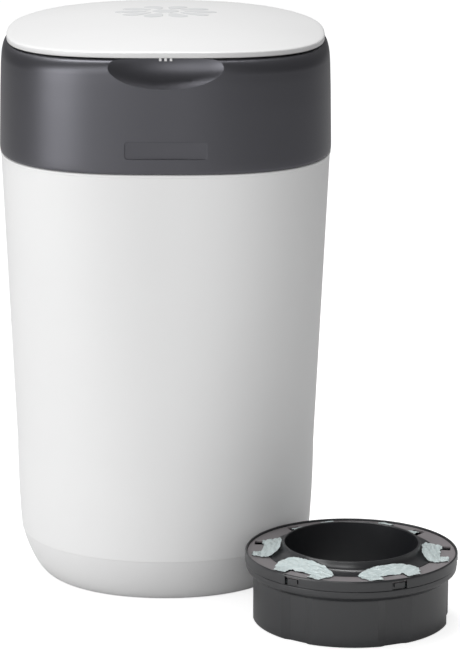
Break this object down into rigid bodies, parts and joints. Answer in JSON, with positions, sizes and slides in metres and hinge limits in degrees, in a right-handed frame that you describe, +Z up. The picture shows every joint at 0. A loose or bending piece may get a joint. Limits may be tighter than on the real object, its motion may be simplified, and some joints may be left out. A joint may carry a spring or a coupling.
{
  "type": "nappy bin",
  "caption": "Lidded nappy bin: tapered tub, hinged head with a turning cassette carrier and cutter, domed lid, and a refill cassette beside it.",
  "frame": {"origin": "on the floor under the middle of the tub, level with its foot", "axes": "+Z up through the tub, front with the finger scoop at -Y, cassette to +X"},
  "size_m": [0.3707, 0.3723, 0.4657],
  "materials": {
    "tub_white": "fine satin moulded plastic",
    "lid_white": "fine satin moulded plastic",
    "liner_white": "satin moulded plastic",
    "collar_charcoal": "satin moulded plastic",
    "housing_grey": "matt moulded plastic",
    "carrier_grey": "satin moulded plastic",
    "grip_light": "satin moulded plastic",
    "button_dark": "matt moulded plastic",
    "gasket_rubber": "soft black rubber",
    "steel": "plain zinc plated steel",
    "blade_steel": "ground steel strip",
    "cassette_black": "semi-gloss moulded plastic",
    "cap_taupe": "satin moulded plastic",
    "film": "thin crumpled film"
  },
  "bodies": {
    "tub": {"tub_shell": "tub_white", "tilt_pin": "steel"},
    "head": {"collar": "collar_charcoal", "deck": "collar_charcoal", "rotor_housing": "housing_grey", "housing_screws": "steel", "click_tongues": "housing_grey", "lid_pin": "steel", "seam_gasket": "gasket_rubber", "catch_keeper": "collar_charcoal"},
    "carrier": {"cassette_carrier": "carrier_grey", "grip_ring": "grip_light"},
    "cutter": {"cutter_ring": "housing_grey"},
    "button": {"cutter_button": "button_dark", "cutter_blade": "blade_steel"},
    "lid": {"lid_cover": "lid_white", "lid_liner": "liner_white", "liner_screws": "steel", "lid_seal": "gasket_rubber", "lid_catch": "collar_charcoal"},
    "cassette": {"cassette_tray": "cassette_black", "cassette_clip": "cassette_black", "cassette_cap": "cap_taupe", "cassette_tube": "cassette_black", "film_pack": "film", "film_tufts": "film"}
  },
  "joints": [
    {"name": "head_tilt", "type": "hinge", "parent": "tub", "child": "head", "pos_m": [0, 0.137, 0.357], "axis": [-1, 0, 0], "range_deg": [0, 90]},
    {"name": "lid_hinge", "type": "hinge", "parent": "head", "child": "lid", "pos_m": [0, 0.12203, 0.4418], "axis": [-1, 0, 0], "range_deg": [0, 100]},
    {"name": "carrier_twist", "type": "hinge", "parent": "head", "child": "carrier", "pos_m": [0, 0, 0.4], "axis": [0, 0, 1], "continuous": true},
    {"name": "cutter_turn", "type": "hinge", "parent": "head", "child": "cutter", "pos_m": [0, 0, 0.37], "axis": [0, 0, 1], "range_deg": [0, 350]},
    {"name": "cutter_press", "type": "slide", "parent": "cutter", "child": "button", "axis": [0, 1, 0], "range_m": [0, 0.005], "stiffness_N_per_m": 300, "springref_m": -0.003},
    {"name": "cassette_lift", "type": "slide", "parent": "tub", "child": "cassette", "axis": [0.5, -0.5, 0.7071], "range_m": [0, 0.12]}
  ]
}
